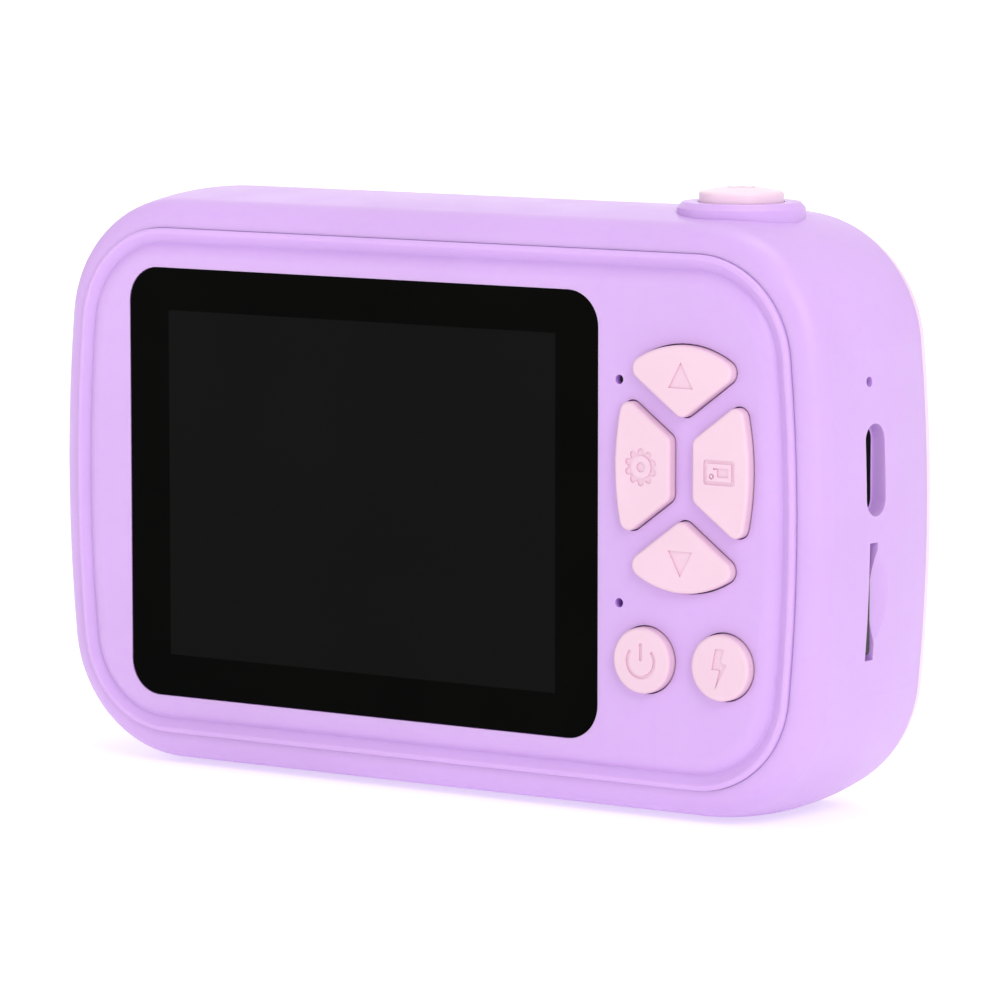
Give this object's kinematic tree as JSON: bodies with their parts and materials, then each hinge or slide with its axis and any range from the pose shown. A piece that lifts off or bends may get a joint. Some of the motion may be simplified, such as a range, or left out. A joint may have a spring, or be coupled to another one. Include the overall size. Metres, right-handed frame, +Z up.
{
  "type": "kids digital camera",
  "caption": "Small soft-cornered toy camera with a rear display, fan-shaped direction keys, a top shutter button, a card slot and a front lens.",
  "frame": {"origin": "middle of the bounding box in X and Y, on the flat underside that the camera stands on", "axes": "+X to the right as the user faces the display, +Y the way the lens points, +Z up"},
  "size_m": [0.0974, 0.0296, 0.0637],
  "materials": {
    "lilac_shell": "satin moulded lilac",
    "pink_shell": "satin moulded pale pink",
    "pink_keys": "satin moulded pale pink",
    "lilac_gloss": "gloss moulded lilac",
    "black_glass": "gloss black back-printed cover lens",
    "clear_plastic": "clear",
    "black_plastic": "matte black",
    "white_plastic": "satin",
    "circuit_board": "green solder mask",
    "steel": "tinned sheet",
    "screw_steel": "zinc plated",
    "black_rubber": "matte",
    "battery_foil": "satin pouch foil",
    "lead_insulation": "soft insulation",
    "flex_amber": "polyimide",
    "panel_glass": "display panel",
    "card_black": "matte black",
    "plunger_white": "satin"
  },
  "bodies": {
    "root": {"battery": "battery_foil", "battery_leads": "lead_insulation", "battery_pad": "black_rubber", "board_components": "black_plastic", "board_connectors": "black_plastic", "board_screws": "screw_steel", "camera_flex": "flex_amber", "card_socket": "steel", "cover_screws": "screw_steel", "display_flex": "flex_amber", "display_glass": "black_glass", "flash_leads": "lead_insulation", "flash_led": "white_plastic", "flash_window": "clear_plastic", "front_cover": "pink_shell", "glass_adhesive": "black_rubber", "key_switches": "black_plastic", "lcd_backlight": "steel", "lcd_panel": "panel_glass", "lens_barrel": "black_plastic", "lens_bezel": "black_plastic", "lens_element": "clear_plastic", "lens_holder": "black_plastic", "lens_ring": "lilac_gloss", "lens_window": "clear_plastic", "main_board": "circuit_board", "main_housing": "lilac_shell", "microphone": "steel", "microphone_boot": "black_rubber", "processor_chip": "black_plastic", "rear_cover": "lilac_shell", "reset_switch": "black_plastic", "sensor_board": "circuit_board", "sensor_screws": "screw_steel", "shutter_switch": "black_plastic", "speaker": "steel", "speaker_gasket": "black_rubber", "speaker_leads": "lead_insulation", "status_led": "white_plastic", "status_light_pipe": "clear_plastic", "usb_c_shell": "steel", "usb_c_tongue": "black_plastic"},
    "up_key": {"up_button": "pink_keys", "up_plunger": "plunger_white"},
    "down_key": {"down_button": "pink_keys", "down_plunger": "plunger_white"},
    "menu_key": {"menu_button": "pink_keys", "menu_plunger": "plunger_white"},
    "gallery_key": {"gallery_button": "pink_keys", "gallery_plunger": "plunger_white"},
    "power_key": {"power_button": "pink_keys", "power_plunger": "plunger_white"},
    "flash_key": {"flash_button": "pink_keys", "flash_plunger": "plunger_white"},
    "shutter": {"shutter_button": "pink_keys", "shutter_plunger": "plunger_white"},
    "card": {"memory_card": "card_black"},
    "reset": {"reset_plunger": "plunger_white"}
  },
  "joints": [
    {"name": "up_key_press", "type": "slide", "parent": "root", "child": "up_key", "axis": [0, 1, 0], "range_m": [0, 0.0005], "stiffness_N_per_m": 400},
    {"name": "down_key_press", "type": "slide", "parent": "root", "child": "down_key", "axis": [0, 1, 0], "range_m": [0, 0.0005], "stiffness_N_per_m": 400},
    {"name": "menu_key_press", "type": "slide", "parent": "root", "child": "menu_key", "axis": [0, 1, 0], "range_m": [0, 0.0005], "stiffness_N_per_m": 400},
    {"name": "gallery_key_press", "type": "slide", "parent": "root", "child": "gallery_key", "axis": [0, 1, 0], "range_m": [0, 0.0005], "stiffness_N_per_m": 400},
    {"name": "power_key_press", "type": "slide", "parent": "root", "child": "power_key", "axis": [0, 1, 0], "range_m": [0, 0.0005], "stiffness_N_per_m": 400},
    {"name": "flash_key_press", "type": "slide", "parent": "root", "child": "flash_key", "axis": [0, 1, 0], "range_m": [0, 0.0005], "stiffness_N_per_m": 400},
    {"name": "shutter_press", "type": "slide", "parent": "root", "child": "shutter", "axis": [0, 0, -1], "range_m": [0, 0.0006], "stiffness_N_per_m": 400},
    {"name": "card_slide", "type": "slide", "parent": "root", "child": "card", "axis": [1, 0, 0], "range_m": [-0.0006, 0.005]},
    {"name": "reset_press", "type": "slide", "parent": "root", "child": "reset", "axis": [-1, 0, 0], "range_m": [0, 0.00025], "stiffness_N_per_m": 400}
  ]
}
